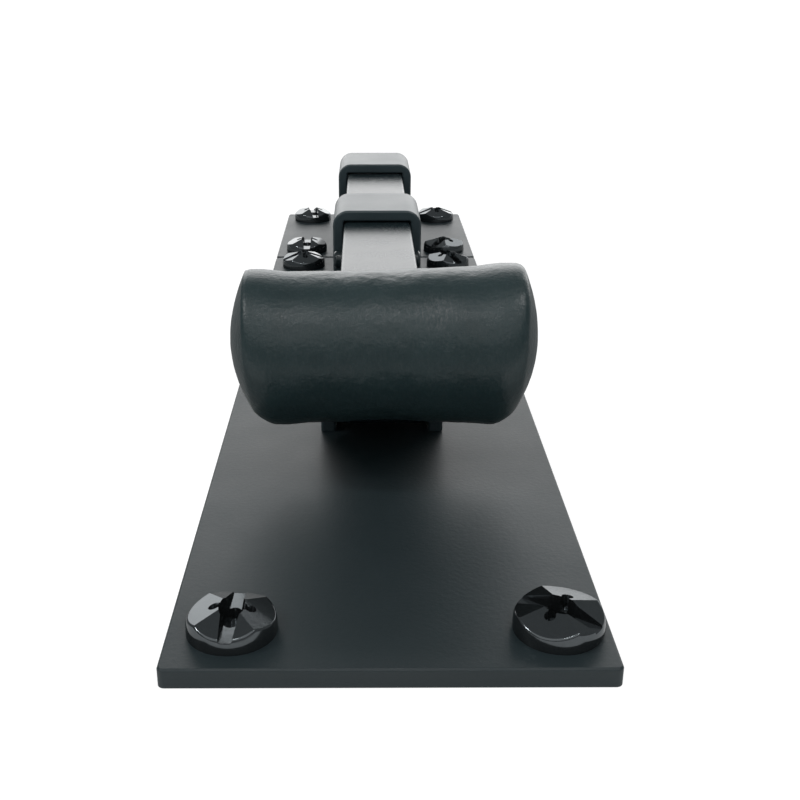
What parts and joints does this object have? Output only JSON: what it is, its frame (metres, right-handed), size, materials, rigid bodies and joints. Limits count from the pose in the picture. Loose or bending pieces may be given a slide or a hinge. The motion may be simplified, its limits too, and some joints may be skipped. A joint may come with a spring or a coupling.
{
  "type": "bolt latch",
  "caption": "Surface slide bolt: square bar with a barrel grip sliding in strap guides on a long plate, with a separate keeper plate and faceted screws.",
  "frame": {"origin": "on the back face of the bolt plate, at the middle of its four screws", "axes": "+Z out of the door, +Y along the bolt from the grip to the keeper, +X to the right seen from the grip"},
  "size_m": [0.0646, 0.2882, 0.0643],
  "materials": {
    "plate_black": "satin black powder coat on flat plate",
    "guide_black": "satin black powder coat on bent strap",
    "bar_black": "satin black coat on square bar and cross pin",
    "grip_black": "satin black coat over a forged, slightly uneven surface",
    "screw_black": "glossy black coated steel"
  },
  "bodies": {
    "mount_body": {"bolt_plate": "plate_black", "front_guide": "guide_black", "rear_guide": "guide_black", "keeper_plate": "plate_black", "keeper_guide": "guide_black", "plate_screw_front_left": "screw_black", "plate_screw_front_right": "screw_black", "plate_screw_rear_left": "screw_black", "plate_screw_rear_right": "screw_black", "keeper_screw_front_left": "screw_black", "keeper_screw_front_right": "screw_black", "keeper_screw_rear_left": "screw_black", "keeper_screw_rear_right": "screw_black"},
    "bolt": {"bolt_bar": "bar_black", "handle": "grip_black", "stop_pin": "bar_black"}
  },
  "joints": [
    {"name": "bolt_slide", "type": "slide", "parent": "mount_body", "child": "bolt", "axis": [0, -1, 0], "range_m": [0, 0.066]}
  ]
}
